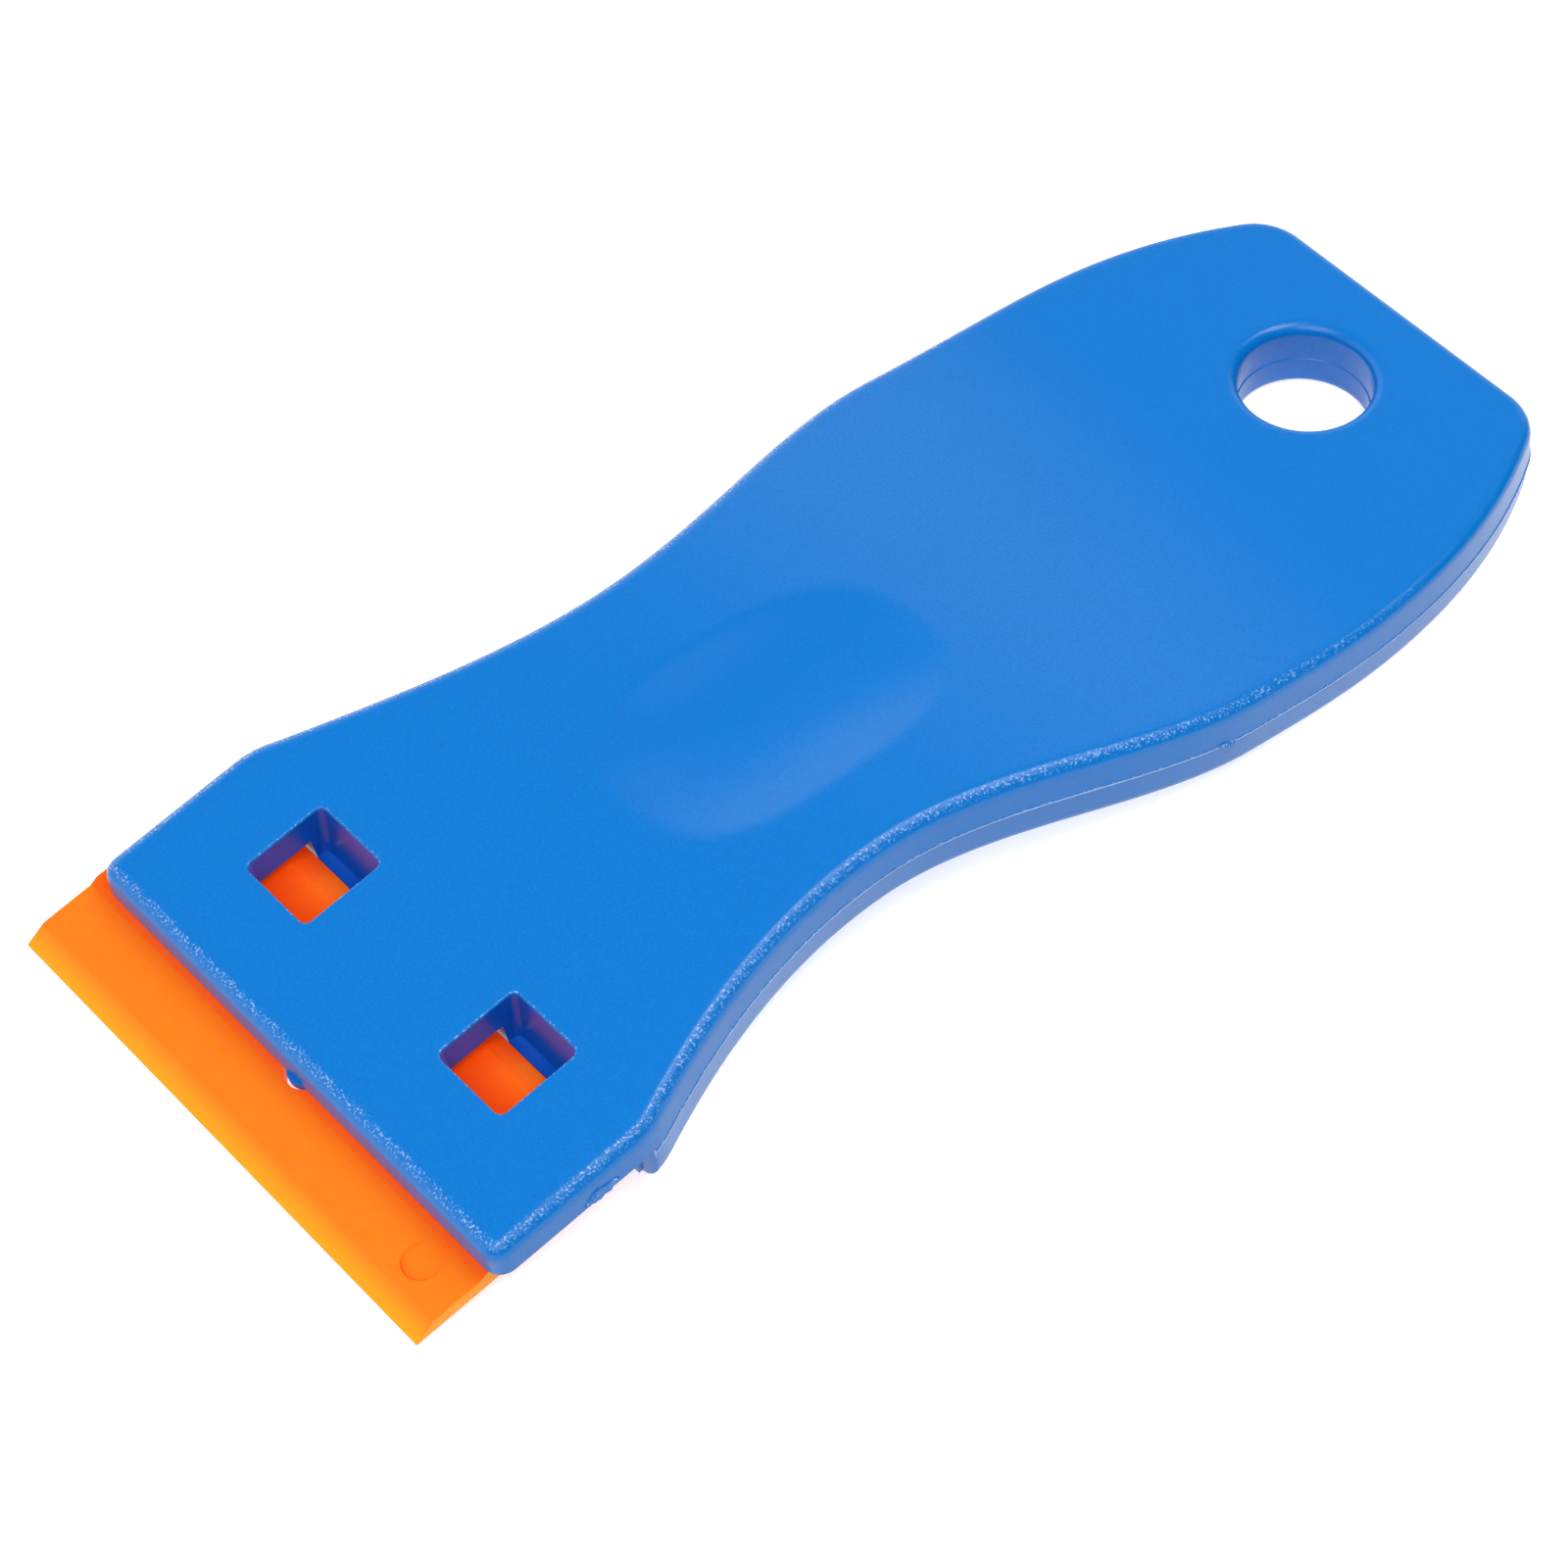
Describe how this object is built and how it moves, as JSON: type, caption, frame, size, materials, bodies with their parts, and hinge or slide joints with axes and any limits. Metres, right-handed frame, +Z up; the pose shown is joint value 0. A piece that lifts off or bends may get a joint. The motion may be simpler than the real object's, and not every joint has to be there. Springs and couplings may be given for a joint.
{
  "type": "plastic razor scraper",
  "caption": "Slim moulded scraper handle, waisted and arched, with a thumb dish and a hang hole; its sloping head grips a replaceable double-edged plastic blade.",
  "frame": {"origin": "under the middle of the whole scraper, on the surface that the tail's underside lies on", "axes": "+X from the blade to the tail, +Y across the handle, +Z up out of the thumb dish"},
  "size_m": [0.0982, 0.0392, 0.0092],
  "materials": {
    "handle": "fine spark-eroded grain",
    "blade": "smooth, slightly translucent"
  },
  "bodies": {
    "handle": {"handle": "handle"},
    "blade": {"blade": "blade"}
  },
  "joints": [
    {"name": "blade_slide", "type": "slide", "parent": "handle", "child": "blade", "axis": [-0.9842, 0, -0.1771], "range_m": [0, 0.0109]}
  ]
}
